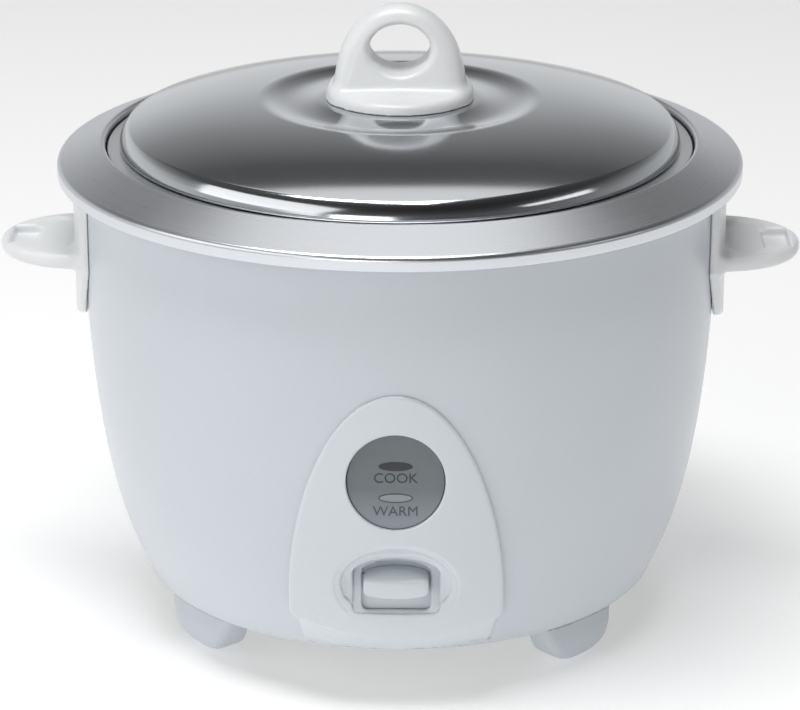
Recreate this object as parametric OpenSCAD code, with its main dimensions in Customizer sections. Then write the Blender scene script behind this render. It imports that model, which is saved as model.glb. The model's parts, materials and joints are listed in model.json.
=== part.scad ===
// Drum-shaped electric rice cooker with a lift-out pot, a steel lid and a lever switch.
// Origin: on the table, under the centre of the body. +Z up, the control panel faces -Y.

/* [Body] */
// Radius of the outer shell at its widest
body_r = 111.4; // [110:0.1:114]
// Radius of the outer shell at its bottom edge
base_r = 91; // [88:0.5:93]
// Height of the shell's bottom edge above the table
foot_h = 19.2; // [17:0.2:24]
// Height of the shell's top edge
shell_top = 164; // [163.5:0.1:164.4]
// Thickness of the shell's sheet metal
shell_t = 1; // [0.8:0.1:1.2]

/* [Collar] */
// Radius of the collar's outer lip
lip_r = 120; // [119:0.5:122]
// Height of the lip's lower edge
lip_z = 164.3; // [164:0.1:165]
// Radius of the collar's inner ridge
ridge_r = 104.4; // [104:0.1:105]
// Height of the collar's inner ridge
ridge_z = 175.4; // [175:0.1:176]

/* [Lid] */
// Radius of the lid over its rolled edge
lid_r = 98.2; // [97.5:0.1:98.6]
// Height that the dome would reach on its axis
dome_top = 190.6; // [189:0.1:192]
// Thickness of the lid's sheet
lid_t = 0.8; // [0.6:0.1:1]
// Radius of the sunk dish in the lid's middle, at its upper edge
dish_r = 47.5; // [45:0.5:50]
// Height of the knob above its seat
knob_h = 33.6; // [30:0.2:36]
// Radius of the knob's foot
knob_r = 25.8; // [24:0.2:27]

/* [Pot] */
// Outer radius of the pot
pot_r = 95; // [94:0.1:95.5]
// Wall thickness of the pot
pot_t = 1.5; // [1.2:0.1:2]
// Height of the pot's underside above the table
pot_z = 67.8; // [67.7:0.1:68.5]

/* [Handles] */
// Reach of each handle from the middle of the body
handle_reach = 141.2; // [138:0.2:145]
// Half width of a handle's wing where it leaves its plate
wing_w = 26; // [24:0.5:28]
// Thickness of a handle's wing
wing_t = 5.6; // [5:0.1:6]

/* [Panel] */
// Half width of the control panel
panel_w = 36.3; // [34:0.1:37]
// Height of the top of the control panel
panel_top = 119.2; // [117:0.2:121]
// Radius of the round indicator window
window_r = 16.8; // [15:0.1:17]

/* [Switch] */
// Half width of the switch paddle
paddle_w = 10.9; // [10:0.1:11.2]
// Turn of the feet and the base about the body's axis, in degrees
base_turn = -3.2; // [-6:0.1:6]

/* [Hidden] */
$fn = 64;

gap = 0.2;                         // clearance between faces that don't touch

// Outer shell
straight_z = 140;                  // the shell is a plain cylinder above this height
shell_steps = 22;

// Collar
collar_t = 1.2;
lip_round = 2;
ridge_round = 1.2;
skirt_r = body_r - shell_t - 2;    // outside of the ring that locates the collar in the shell

// Liner and heating plate
liner_r = 98.4;
liner_t = 1;
liner_z = 50;
liner_corner = 18;                 // radius of the bend between the liner's floor and wall
liner_top = 171.4;
plate_r = 82;
plate_t = 10;
plate_z = pot_z - gap - plate_t;   // underside of the heating plate
element_r = 62;
element_tube = 4;
terminal_angles = [-12, 12];
sensor_hole = 18.5;
spacer_r = 72;

// Pot and lid
pot_flange_r = 102.4;
pot_flange_z = 173.2;              // top of the pot's flange
pot_corner = 12;
bead_r = 1.1;
bead_z = pot_flange_z + gap + bead_r;
crease_r = 95.6;
dish_floor_r = 39;
dish_low = dome_height(dish_r) - 1.6;
knob_seat_r = 27;
dish_z = dish_low + 1.6;           // the seat under the knob

// Knob
knob_flange = 4.4;
knob_arch_w = 22.4;
knob_arch_b = 28;
knob_hole_w = 10.6;
knob_hole_h = 8.4;

// Handles
plate_out = 3.6;                   // how far a handle's plate stands out from the shell
plate_w = 30;
plate_low = 110;
plate_high = 162;
wing_z = 133;                      // underside of a wing
pocket = [9, 19];
handle_screw_z = [120, 152];

// Panel
panel_mid = 43;                    // below this the panel's sides are straight
panel_low = 26.5;
panel_proud_top = 1.2;
panel_proud_low = 4.8;
panel_t = 2.2;
window_z = 88.1;
window_t = 2.6;                    // thickness of the window, flange included
well_z = 48.6;
well_w = 19;
well_h = 15.4;
well_sphere = 31.5;                // radius of the ball that the finger well is part of
well_ball_y = -132;
recess_w = 14.5;                   // the recess in the well's floor that holds the paddle
recess_low = 37.6;
recess_high = 57.6;
recess_floor = -97.3;              // back of the recess at its top; its floor slopes forward below that
recess_tilt = 12;
slot_w = 11.6;                     // the slot in the recess's floor
slot_low = 38.4;
slot_high = 55;

// Switch
pivot_y = -48;
pivot_z = 44;
pin_r = 1.5;
paddle_face = -106;
paddle_low = 43.6;
paddle_high = 53.2;
apron_w = 12.4;
arm_t = 1.2;
bracket_w = 9;
front_arm_z = 46.9;                // underside of the arm in front of its pivot
rear_arm_z = 39.4;                 // underside of the arm behind its pivot

// Thermostat
cap_r = 16;
core_r = 8;
frame_low = 33;
magnet_travel = 6;                 // gap between the magnet and the core with the lever up

spring_seat = 46.6;                // upper face of the ledge that the outer spring stands on
cap_under = pot_z - gap - 4;       // underside of the sensor cap's head
magnet_top = cap_under - 6 - magnet_travel;

// Base
bottom_z = foot_h + 1;
bottom_t = 1.2;
foot_w = 18.6;
foot_out = base_r - 0.1;
foot_in = 74;
foot_low_r = 84.8;                 // the foot's outer face draws in to this radius at the floor
foot_screw_r = 78;
foot_angles = [-47.5, 47.5, -132.5, 132.5];

inlet_z = 40;
inlet_angle = 180;

// Radius of the shell's outside at height z
function shell_radius(z) =
    let (u = max(0, (straight_z - z) / (straight_z - foot_h)))
    body_r - (body_r - base_r) * (0.68 * pow(u, 2) + 0.32 * pow(u, 6));

// Height of the lid's dome at radius r
function dome_height(r) = dome_top - 4.1 * pow(r / 90, 2) - 4.5 * pow(r / 90, 4);

// How far the panel stands out from the shell at height z
function panel_proud(z) =
    panel_proud_top + (panel_proud_low - panel_proud_top) * (panel_top - z) / (panel_top - panel_low);

function arc(c, r, a0, a1, n = 8) =
    [for (i = [0:n]) let (a = a0 + (a1 - a0) * i / n) [c[0] + r * cos(a), c[1] + r * sin(a)]];

function ellipse(a, b, n = 48, c = [0, 0]) =
    [for (i = [0:n - 1]) [c[0] + a * cos(360 * i / n), c[1] + b * sin(360 * i / n)]];

function shell_line(z0, z1, out) =
    [for (i = [0:shell_steps]) let (z = z0 + (z1 - z0) * i / shell_steps) [shell_radius(z) + out, z]];

function reversed(list) = [for (i = [len(list) - 1:-1:0]) list[i]];

module tube(r, inner, h) {
    difference() {
        cylinder(r = r, h = h);
        translate([0, 0, -1]) cylinder(r = inner, h = h + 2);
    }
}

// A screw with its head's underside at z = 0 and its shank towards -Z
module screw(r = 1.5, length = 8, head_r = 3, head_h = 1.6) {
    difference() {
        union() {
            translate([0, 0, -length]) cylinder(r = r, h = length, $fn = 32);
            cylinder(r = head_r, h = head_h, $fn = 32);
        }
        for (a = [0, 90])
            rotate([0, 0, a]) translate([-head_r * 0.6, -0.3, head_h - 0.8]) cube([head_r * 1.2, 0.6, 2]);
    }
}

// Stands its children on the shell's wall, facing outwards at the angle given from the front
module at_angle(a) {
    rotate([0, 0, a]) children();
}

// ---------- housing ----------

module shell_cuts() {
    // opening behind the control panel
    panel_cut(6);
    // holes for the handle screws
    for (s = [-1, 1])
        for (z = handle_screw_z)
            translate([s * 90, 0, z]) rotate([0, s * 90, 0]) cylinder(r = 1.9, h = 30, $fn = 32);
    // hole for the power inlet
    at_angle(inlet_angle) translate([-13.5, -120, inlet_z - 9]) cube([27, 60, 18]);
}

module outer_shell() color([0.80, 0.83, 0.86]) {
    difference() {
        rotate_extrude($fn = 128)
            polygon(concat(
                shell_line(foot_h, shell_top, 0),
                reversed(shell_line(foot_h, shell_top, -shell_t))));
        shell_cuts();
    }
}

module rim_collar() color([0.72, 0.74, 0.76]) {
    slope = atan2(ridge_z - lip_z - 3.2, lip_r - ridge_r);
    rotate_extrude($fn = 128)
        polygon(concat(
            [[ridge_r - 1.2, 168]],
            arc([ridge_r, ridge_z - ridge_round], ridge_round, 180, 90 - slope, 6),
            arc([lip_r - lip_round, lip_z + lip_round + 0.6], lip_round, 90 - slope, 0, 6),
            [[lip_r, lip_z], [lip_r - collar_t, lip_z]],
            arc([lip_r - lip_round, lip_z + lip_round + 0.6], lip_round - collar_t, 0, 90 - slope, 4),
            [[skirt_r, lip_z + 7.4], [skirt_r, 158], [skirt_r - 1, 158], [skirt_r - 1, lip_z + 8]],
            [[ridge_r + 0.4, ridge_z - 2.4], [ridge_r, 168]]));
}

module inner_liner() color([0.78, 0.79, 0.80]) {
    difference() {
        rotate_extrude($fn = 128)
            polygon(concat(
                [[20, liner_z]],
                arc([liner_r - liner_corner, liner_z + liner_corner], liner_corner, -90, 0, 8),
                [[liner_r, 161]],
                [[skirt_r - 1.3, 162.4], [skirt_r - 1.3, 163.6], [liner_r + 3.4, 163.6]],
                [[liner_r + 3.4, liner_top], [liner_r + 2.4, liner_top], [liner_r + 2.4, 164]],
                [[liner_r - liner_t, 161.6]],
                reversed(arc([liner_r - liner_corner, liner_z + liner_corner],
                    liner_corner - liner_t, -90, 0, 8)),
                [[20, liner_z + liner_t]]));
        for (a = [60, 180, 300])
            rotate([0, 0, a]) translate([0, -spacer_r, liner_z - 1]) cylinder(r = 2.2, h = 4, $fn = 32);
        for (a = terminal_angles)
            rotate([0, 0, a]) translate([element_r, 0, liner_z - 1]) cylinder(r = 5, h = 4, $fn = 32);
    }
}

module vent_slots() {
    for (a = [0:30:330])
        rotate([0, 0, a + 15]) translate([-2, -62, bottom_z - 1]) cube([4, 22, 4]);
}

module bottom_plate() color([0.62, 0.64, 0.66]) {
    difference() {
        union() {
            translate([0, 0, bottom_z]) cylinder(r = shell_radius(bottom_z) - shell_t - 0.3,
                h = bottom_t, $fn = 128);
            // raised rim that lies inside the shell
            translate([0, 0, bottom_z]) tube(base_r - shell_t - 0.3, base_r - shell_t - 2.3, 6);
            // stiffening ring
            translate([0, 0, bottom_z]) tube(34, 32.5, 4);
        }
        vent_slots();
        for (a = foot_angles)
            at_angle(a + base_turn) translate([0, -foot_screw_r, bottom_z - 1])
                cylinder(r = 1.9, h = 4, $fn = 32);
    }
}

// Outline of a foot seen from outside: a wide top, one upright side and one that slants in to a narrow flat base
module foot_outline() {
    polygon([
        [-foot_w, bottom_z - 0.1], [-foot_w, 8], [0.8 - foot_w, 4.6], [3.1 - foot_w, 2.2],
            [6.6 - foot_w, 0.6],
        [10.6 - foot_w, 0], [foot_w - 13.6, 0], [foot_w - 10.1, 1.2], [foot_w - 6.6, 5], [foot_w - 4, 10],
        [foot_w - 1.8, 14.5], [foot_w, bottom_z - 0.1]]);
}

// One foot: its outer face carries on the line of the shell's bottom edge and draws in towards the floor
module foot(a) color([0.76, 0.79, 0.82]) {
    // the slanting side is the one nearer to the object's middle plane
    slant = -sign(sin(2 * a));
    at_angle(a + base_turn)
        difference() {
            intersection() {
                rotate([90, 0, 0]) translate([0, 0, 60]) linear_extrude(height = 40)
                    scale([slant, 1]) foot_outline();
                translate([0, -base_r - 2.4, -1]) cylinder(r = foot_w + 1, h = bottom_z + 2, $fn = 64);
                rotate_extrude($fn = 128)
                    polygon(concat(
                        [[foot_in, bottom_z - 0.1], [foot_in + 3, 0], [foot_low_r, 0]],
                        [[foot_low_r + 2.4, 1.6], [foot_low_r + 4.2, 4.6],
                            [foot_low_r + 5.6, 8.8], [foot_out, 13]],
                        [[foot_out, foot_h - 0.3], [foot_out - 1.6, foot_h - 0.3],
                            [foot_out - 1.6, bottom_z - 0.1]]));
            }
            translate([0, -foot_screw_r, bottom_z - 8]) cylinder(r = 1.7, h = 10, $fn = 32);
        }
}

module bottom_screws() color([0.6, 0.6, 0.62]) {
    for (a = foot_angles)
        at_angle(a + base_turn) translate([0, -foot_screw_r, bottom_z + bottom_t]) {
            cylinder(r = 3, h = 1.8, $fn = 32);
            translate([0, 0, -bottom_t - 6.5]) cylinder(r = 1.6, h = bottom_t + 6.6, $fn = 32);
        }
}

// ---------- handles ----------

module wing_outline() {
    root = body_r + 1;
    polygon([for (i = [0:24]) let (a = -90 + 180 * i / 24)
        [root + (handle_reach - root) * pow(cos(a), 0.9), wing_w * sin(a)]]);
}

module handle_plate_outline() {
    hull() {
        translate([0, plate_low + 17]) circle(r = 17, $fn = 48);
        translate([-plate_w, plate_low + 24]) square([2 * plate_w, plate_high - plate_low - 24]);
    }
}

module handle() {
    difference() {
        union() {
            intersection() {
                translate([0, 0, 100]) tube(body_r + plate_out, body_r, 70);
                rotate([90, 0, 90]) translate([0, 0, 80]) linear_extrude(height = 50)
                    handle_plate_outline();
            }
            difference() {
                translate([0, 0, wing_z]) linear_extrude(height = wing_t) wing_outline();
                translate([0, 0, wing_z - 1]) cylinder(r = body_r + 2, h = wing_t + 2, $fn = 128);
                translate([handle_reach - 3.6 - pocket[0], -pocket[1] / 2, wing_z + 1.6])
                    cube([pocket[0], pocket[1], wing_t]);
            }
        }
        for (z = handle_screw_z)
            translate([body_r - 3, 0, z]) rotate([0, 90, 0]) cylinder(r = 1.5, h = 6, $fn = 32);
    }
}

module handle_right() color([0.93, 0.94, 0.95]) handle();
module handle_left() color([0.93, 0.94, 0.95]) mirror([1, 0, 0]) handle();

module handle_screws() color([0.6, 0.6, 0.62]) {
    for (s = [-1, 1])
        for (z = handle_screw_z)
            translate([s * (body_r - shell_t - 2.2), 0, z]) rotate([0, s * 90, 0]) {
                cylinder(r = 1.5, h = 6, $fn = 32);
                cylinder(r = 3, h = 1.5, $fn = 32);
            }
}

// ---------- front panel ----------

// Half width of the panel's arch at height z
function panel_half(z) = let (u = (z - panel_mid) / (panel_top - panel_mid))
    panel_w * pow(1 - pow(u, 1.8), 0.48);

// Height of the panel's lower edge at distance x from its middle
function panel_edge(x) = panel_low + 8.4 * pow(x / panel_w, 2);

// Outline of the panel seen from the front, drawn inwards by inset
module panel_outline(inset = 0) {
    w = panel_w - inset;
    scale_x = w / panel_w;
    corner = 5;
    arch = [for (i = [0:24]) let (u = i / 24)
        panel_mid + (panel_top - inset - panel_mid) * (1 - pow(1 - u, 2))];
    polygon(concat(
        [for (z = arch) [scale_x * panel_half(panel_mid + (z - panel_mid) * (panel_top - panel_mid)
            / (panel_top - inset - panel_mid)), z]],
        [for (i = [1:24]) let (z = arch[24 - i])
            [-scale_x * panel_half(panel_mid + (z - panel_mid) * (panel_top - panel_mid)
                / (panel_top - inset - panel_mid)), z]],
        arc([corner - w, panel_edge(w - corner) + inset + 4.2], corner, 180, 240, 5),
        [for (i = [-6:6]) [(w - 6) * i / 7, panel_edge((w - 6) * i / 7) + inset]],
        arc([w - corner, panel_edge(w - corner) + inset + 4.2], corner, 300, 360, 5)));
}

// Distance of the window's face from the body's axis
window_face = shell_radius(window_z) + panel_proud(window_z) - 2.7;

// Everything in front of the panel's outline
module panel_cut(inset = 0) {
    rotate([90, 0, 0]) translate([0, 0, 60]) linear_extrude(height = 80) panel_outline(inset);
}

// The round body that the panel's face is part of, as wide as the face plus extra
module panel_block(extra = 0) {
    rotate_extrude($fn = 128)
        polygon(concat(
            [for (i = [0:16]) let (z = panel_low - 2 + (panel_top - panel_low + 4) * i / 16)
                [shell_radius(z) + panel_proud(z) + extra, z]],
            [[30, panel_top + 2], [30, panel_low - 2]]));
}

// The space that the shell takes up
module shell_space(z0, z1) {
    rotate_extrude($fn = 128)
        polygon(concat(shell_line(z0, z1, 0), [[20, z1], [20, z0]]));
}

module well_ball(extra = 0) {
    translate([0, well_ball_y, well_z]) sphere(r = well_sphere + extra, $fn = 96);
}

module well_oval(grow = 0) {
    rotate([90, 0, 0]) translate([0, 0, 90]) linear_extrude(height = 40)
        translate([0, well_z]) polygon(ellipse(well_w + grow, well_h + grow));
}

// A slot with a flat bottom and an arched top, cut along Y
module arched_slot(w, low, high, arch) {
    rotate([90, 0, 0]) translate([0, 0, 80]) linear_extrude(height = 50)
        polygon(concat(
            [[-w, low], [w, low]],
            [for (i = [0:12]) let (a = 180 * i / 12) [w * cos(a), high - arch + arch * sin(a)]]));
}

// Everything behind the recess's sloping floor, set back by gap
module behind_recess(gap = 0) {
    translate([-40, recess_floor + gap, recess_high]) rotate([-recess_tilt, 0, 0]) translate([0, 0, -60])
        cube([80, 60, 90]);
}

// The sloping part under the panel's lower edge, down to the shell's bottom edge
module panel_chin() {
    difference() {
        hull() {
            for (i = [-6:6]) {
                x = (panel_w - 1.4) * i / 6;
                z = panel_edge(x) + (abs(i) == 6 ? 2.6 : 0.4);
                r = shell_radius(z) + panel_proud(z) - 0.3;
                translate([x, -sqrt(r * r - x * x), z]) cube(0.1, center = true);
            }
            for (i = [-6:6]) {
                x = (panel_w - 3.6) * i / 6;
                translate([x, -sqrt(pow(base_r + 0.7, 2) - x * x), foot_h + 0.2])
                    cube(0.1, center = true);
                translate([x, -72, foot_h + 0.2]) cube(0.1, center = true);
            }
            translate([0, -72, 38]) cube([2 * panel_w - 3, 0.2, 0.2], center = true);
        }
        shell_space(foot_h - 4, 50);
    }
}

module front_panel() color([0.84, 0.87, 0.90]) {
    difference() {
        union() {
            intersection() {
                panel_block();
                panel_cut();
            }
            panel_chin();
        }
        shell_space(panel_low - 5, panel_top + 5);
        intersection() {
            panel_block(-panel_t);
            panel_cut(3);
        }
        intersection() {
            well_ball();
            well_oval();
        }
        arched_slot(recess_w, recess_low, recess_high, 5);
        // seat of the round window
        translate([0, -95, window_z]) rotate([90, 0, 0]) cylinder(r = window_r + 0.15, h = 40, $fn = 64);
    }
    // bowl of the finger well, with the slotted floor behind its recess
    difference() {
        intersection() {
            union() {
                well_ball(1.6);
                translate([-recess_w - 1.4, -104, recess_low - 1.4])
                    cube([2 * recess_w + 2.8, 14, recess_high - recess_low + 2.8]);
            }
            well_oval(1.6);
            panel_block(-0.4);
        }
        behind_recess(1.4);
        well_ball();
        difference() {
            arched_slot(recess_w, recess_low, recess_high, 5);
            behind_recess();
        }
        arched_slot(slot_w, slot_low, slot_high, 4);
    }
    // wall round the window's seat
    intersection() {
        panel_block(-0.5);
        translate([0, 1.5 - window_face, window_z]) rotate([90, 0, 0])
            tube(window_r + 1.8, window_r + 0.15, 9);
    }
}

module indicator_window() color([0.35, 0.39, 0.40]) {
    translate([0, -window_face, window_z]) rotate([-90, 0, 0]) {
        cylinder(r = window_r, h = window_t, $fn = 64);
        translate([0, 0, 1.6]) cylinder(r = window_r + 1.7, h = window_t - 1.6, $fn = 64);
    }
}

module lamp_holder() color([0.85, 0.8, 0.6]) {
    translate([-13, -101.4, window_z - 13]) cube([26, 1.6, 26]);
}

module lamp(z) {
    translate([-6.5, -103.6, z]) rotate([0, 90, 0]) {
        cylinder(r = 2, h = 11, $fn = 32);
        translate([0, 0, 11]) sphere(r = 2, $fn = 32);
        for (x = [-1, 1])
            translate([0, x, -2]) cylinder(r = 0.35, h = 2.2, $fn = 16);
    }
}

module cook_lamp() color([0.75, 0.2, 0.12]) lamp(window_z + 5);
module warm_lamp() color([0.9, 0.65, 0.2]) lamp(window_z - 5);

// ---------- heating ----------

module heating_plate() color([0.70, 0.71, 0.72]) {
    difference() {
        translate([0, 0, plate_z]) rotate_extrude($fn = 128)
            polygon(concat(
                [[sensor_hole, 0], [plate_r - 6, 0], [plate_r, 5]],
                arc([plate_r - 4, plate_t - 4], 4, 0, 90, 5),
                [[sensor_hole, plate_t]]));
        translate([0, 0, plate_z]) rotate_extrude($fn = 96) translate([element_r, 1])
            circle(r = element_tube, $fn = 32);
        for (a = [60, 180, 300])
            rotate([0, 0, a]) translate([0, -spacer_r, plate_z - 1]) cylinder(r = 1.6, h = 7, $fn = 32);
    }
}

module heating_element() color([0.5, 0.5, 0.52]) {
    rotate([0, 0, 20]) translate([0, 0, plate_z])
        rotate_extrude(angle = 320, $fn = 96) translate([element_r, 1])
            circle(r = element_tube, $fn = 32);
}

module element_terminals() color([0.75, 0.75, 0.75]) {
    for (a = terminal_angles)
        rotate([0, 0, a]) translate([element_r, 0, plate_z - 14]) {
            cylinder(r = 1.5, h = 14, $fn = 32);
            translate([-3, -0.4, -8]) cube([6, 0.8, 8.2]);
        }
}

module plate_spacers() color([0.75, 0.75, 0.75]) {
    for (a = [60, 180, 300])
        rotate([0, 0, a]) translate([0, -spacer_r, liner_z + liner_t])
            tube(4.5, 2, plate_z - liner_z - liner_t);
}

module plate_screws() color([0.6, 0.6, 0.62]) {
    for (a = [60, 180, 300])
        rotate([0, 0, a]) translate([0, -spacer_r, liner_z]) rotate([180, 0, 0]) {
            cylinder(r = 3.4, h = 1.8, $fn = 32);
            translate([0, 0, -(plate_z - liner_z + 5)])
                cylinder(r = 1.6, h = plate_z - liner_z + 5.2, $fn = 32);
        }
}

// ---------- magnetic thermostat, on the body's axis ----------

module thermostat_frame() color([0.72, 0.70, 0.62]) {
    difference() {
        union() {
            // flange against the liner's floor, and a cup below it
            translate([0, 0, liner_z - 1.2]) cylinder(r = 26, h = 1.2);
            translate([0, 0, frame_low]) cylinder(r = 19, h = liner_z - 1 - frame_low);
        }
        translate([0, 0, spring_seat]) cylinder(r = 17.8, h = 40);
        translate([0, 0, frame_low + 1.2]) cylinder(r = 17.8, h = spring_seat - frame_low - 2.2);
        translate([0, 0, spring_seat - 2]) cylinder(r = 12.4, h = 4);
        translate([0, 0, frame_low - 1]) cylinder(r = 2, h = 4, $fn = 32);
        // gap that the lever arm passes through
        translate([-8, -30, frame_low + 3]) cube([16, 42, 10]);
    }
}

// One turn after another of round wire, between two heights
function spring_ring(t, r, wire, turns, low, high, sides) =
    let (a = 360 * turns * t, z = low + wire + (high - low - 2 * wire) * t)
    [for (j = [0:sides - 1]) let (b = 360 * j / sides, q = r + wire * cos(b))
        [q * cos(a), q * sin(a), z + wire * sin(b)]];

module sweep(rings) {
    n = len(rings);
    m = len(rings[0]);
    polyhedron(
        points = [for (r = rings) for (p = r) p],
        faces = concat(
            [[for (j = [0:m - 1]) j]],
            [[for (j = [m - 1:-1:0]) (n - 1) * m + j]],
            [for (i = [0:n - 2]) for (j = [0:m - 1])
                [i * m + j, (i + 1) * m + j, (i + 1) * m + (j + 1) % m, i * m + (j + 1) % m]]));
}

module spring(r, wire, turns, low, high) {
    rings = 16 * turns;
    sweep([for (i = [0:rings]) spring_ring(i / rings, r, wire, turns, low, high, 6)]);
}

module cap_spring() color([0.7, 0.7, 0.7]) {
    spring(14, 0.5, 4, spring_seat + 0.1, cap_under - 0.1);
}

module magnet_spring() color([0.7, 0.7, 0.7]) {
    spring(10.2, 0.4, 5, magnet_top - 4.8, cap_under - 0.1);
}

module sensor_cap() color([0.80, 0.81, 0.82]) {
    translate([0, 0, cap_under]) cylinder(r = cap_r, h = 4);
    translate([0, 0, cap_under - 9]) tube(cap_r, cap_r - 1.2, 9.2);
}

module ferrite_core() color([0.2, 0.2, 0.22]) {
    translate([0, 0, cap_under - 6]) cylinder(r = core_r, h = 6);
}

module magnet() color([0.3, 0.3, 0.32]) {
    translate([0, 0, magnet_top - 5]) tube(core_r + 0.5, 1.6, 5);
}

module magnet_rod() color([0.75, 0.75, 0.75]) {
    // cup under the magnet, which the spring presses on
    translate([0, 0, magnet_top - 6]) cylinder(r = 11.4, h = 1);
    translate([0, 0, magnet_top - 5.1]) cylinder(r = 1.6, h = 5.1, $fn = 32);
    // rod, with the collar that the lever lifts
    translate([0, 0, rear_arm_z + arm_t + 0.5]) cylinder(r = 4.6, h = 1.2, $fn = 32);
    translate([0, 0, frame_low - 2]) cylinder(r = 1.6, h = magnet_top - 5.5 - frame_low + 2, $fn = 32);
}

// ---------- switch ----------

// Paddle seen from the front: bowed top and bottom edges
module paddle_front() {
    mid = (paddle_low + paddle_high) / 2;
    polygon(concat(
        [for (i = [0:10]) let (x = paddle_w * (1 - i / 5)) [x, paddle_high - 1.9 * pow(x / paddle_w, 2)]],
        [[-paddle_w, mid - 1]],
        [for (i = [0:10]) let (x = (paddle_w - 0.5) * (i / 5 - 1)) [x,
            paddle_low + 1.7 * pow(x / paddle_w, 2)]],
        [[paddle_w, mid - 1]]));
}

// Paddle seen from the side: a ridge at the front, sloping faces above and below it
module paddle_side() {
    ridge = [paddle_face + 1.4, paddle_high - 3.6];
    polygon(concat(
        [[paddle_face + 9, paddle_low], [paddle_face + 2.4, paddle_low]],
        arc(ridge, 1.4, 200, 125, 6),
        [[paddle_face + 6.2, paddle_high], [paddle_face + 9, paddle_high]]));
}

module cook_paddle() color([0.80, 0.83, 0.86]) {
    difference() {
        union() {
            intersection() {
                rotate([90, 0, 0]) translate([0, 0, 80]) linear_extrude(height = 40) paddle_front();
                rotate([90, 0, 90]) translate([0, 0, -20]) linear_extrude(height = 40) paddle_side();
                translate([0, paddle_face + 45, 0]) cylinder(r = 45, h = 80, $fn = 96);
            }
            // apron that shuts the slot from behind
            translate([-apron_w, recess_floor + 2.2, recess_high])
                rotate([-recess_tilt, 0, 0]) translate([0, 0, -20.2]) cube([2 * apron_w, 1.2, 18]);
            // stem that the lever arm is pushed into
            translate([-7, paddle_face + 8, 45]) cube([14, 15, 5]);
        }
        translate([-5, paddle_face + 11, front_arm_z - 0.05]) cube([10, 13, arm_t + 0.1]);
    }
}

module lever_arm() color([0.75, 0.72, 0.6]) {
    fork = 3.4;
    difference() {
        union() {
            // tongue in the paddle's stem, and the arm back to the pivot
            translate([-4.9, paddle_face + 11.2, front_arm_z]) cube([9.8, 20, arm_t]);
            translate([-6, paddle_face + 26, front_arm_z]) cube([12, pivot_y - paddle_face - 26, arm_t]);
            // hub, and the step down behind it
            translate([-6, pivot_y, pivot_z]) rotate([0, 90, 0]) cylinder(r = 3.2, h = 12, $fn = 32);
            translate([-6, pivot_y - 2, rear_arm_z]) cube([12, 4, front_arm_z + arm_t - rear_arm_z]);
            // arm back to the magnet's rod
            translate([-6, pivot_y, rear_arm_z]) cube([12, 6 - pivot_y, arm_t]);
        }
        translate([-7, pivot_y, pivot_z]) rotate([0, 90, 0]) cylinder(r = pin_r + 0.08, h = 14, $fn = 32);
        // fork round the rod
        translate([-fork, -6, rear_arm_z - 1]) cube([2 * fork, 14, 4]);
    }
}

module lever_pin() color([0.7, 0.7, 0.72]) {
    translate([-bracket_w - 2, pivot_y, pivot_z]) rotate([0, 90, 0])
        cylinder(r = pin_r, h = 2 * bracket_w + 4, $fn = 32);
}

module lever_bracket() color([0.72, 0.70, 0.62]) {
    difference() {
        union() {
            translate([-bracket_w - 6, pivot_y - 6, liner_z - 1.2]) cube([2 * bracket_w + 12, 14, 1.1]);
            for (s = [-1, 1])
                translate([s * bracket_w - 0.6, pivot_y - 5, pivot_z - 4])
                    cube([1.2, 10, liner_z - pivot_z + 3]);
            // arm that carries the micro switch
            translate([12, -43, liner_z - 1.2]) cube([7.7, 16, 1.1]);
            translate([18.5, -43, frame_low + 2]) cube([1.2, 16, liner_z - frame_low - 2.6]);
        }
        translate([-20, pivot_y, pivot_z]) rotate([0, 90, 0]) cylinder(r = pin_r, h = 30, $fn = 32);
        for (s = [-1, 1])
            translate([s * (bracket_w + 3.4), pivot_y + 1, liner_z - 3])
                cylinder(r = 1.2, h = 5, $fn = 32);
    }
}

module bracket_rivets() color([0.75, 0.75, 0.75]) {
    for (s = [-1, 1])
        translate([s * (bracket_w + 3.4), pivot_y + 1, liner_z - 2.2]) {
            cylinder(r = 2, h = 1, $fn = 32);
            cylinder(r = 1.2, h = 2.2, $fn = 32);
        }
}

module micro_switch() color([0.15, 0.15, 0.16]) {
    translate([12, -44, frame_low + 1]) cube([6.4, 20, 10]);
    translate([12.4, -36, frame_low + 11]) cube([5.6, 2.6, 1.4]);
    for (y = [-42, -34, -27])
        translate([14.6, y, frame_low - 4]) cube([0.8, 3.2, 5.1]);
}

module keep_warm_thermostat() color([0.85, 0.82, 0.72]) {
    translate([40, 30, liner_z - 11]) cylinder(r = 8, h = 11, $fn = 48);
    for (y = [27, 31.6])
        translate([37, y, liner_z - 18]) cube([6, 0.8, 7.2]);
}

module thermal_fuse() color([0.8, 0.7, 0.5]) {
    translate([-44, 20, liner_z - 5]) rotate([-90, 0, 0]) cylinder(r = 2, h = 18, $fn = 32);
}

module fuse_clip() color([0.7, 0.7, 0.7]) {
    difference() {
        translate([-48, 25, liner_z - 8]) cube([8, 8, 8]);
        translate([-44, 20, liner_z - 5]) rotate([-90, 0, 0]) cylinder(r = 2, h = 20, $fn = 32);
    }
}

// ---------- power inlet ----------

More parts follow.
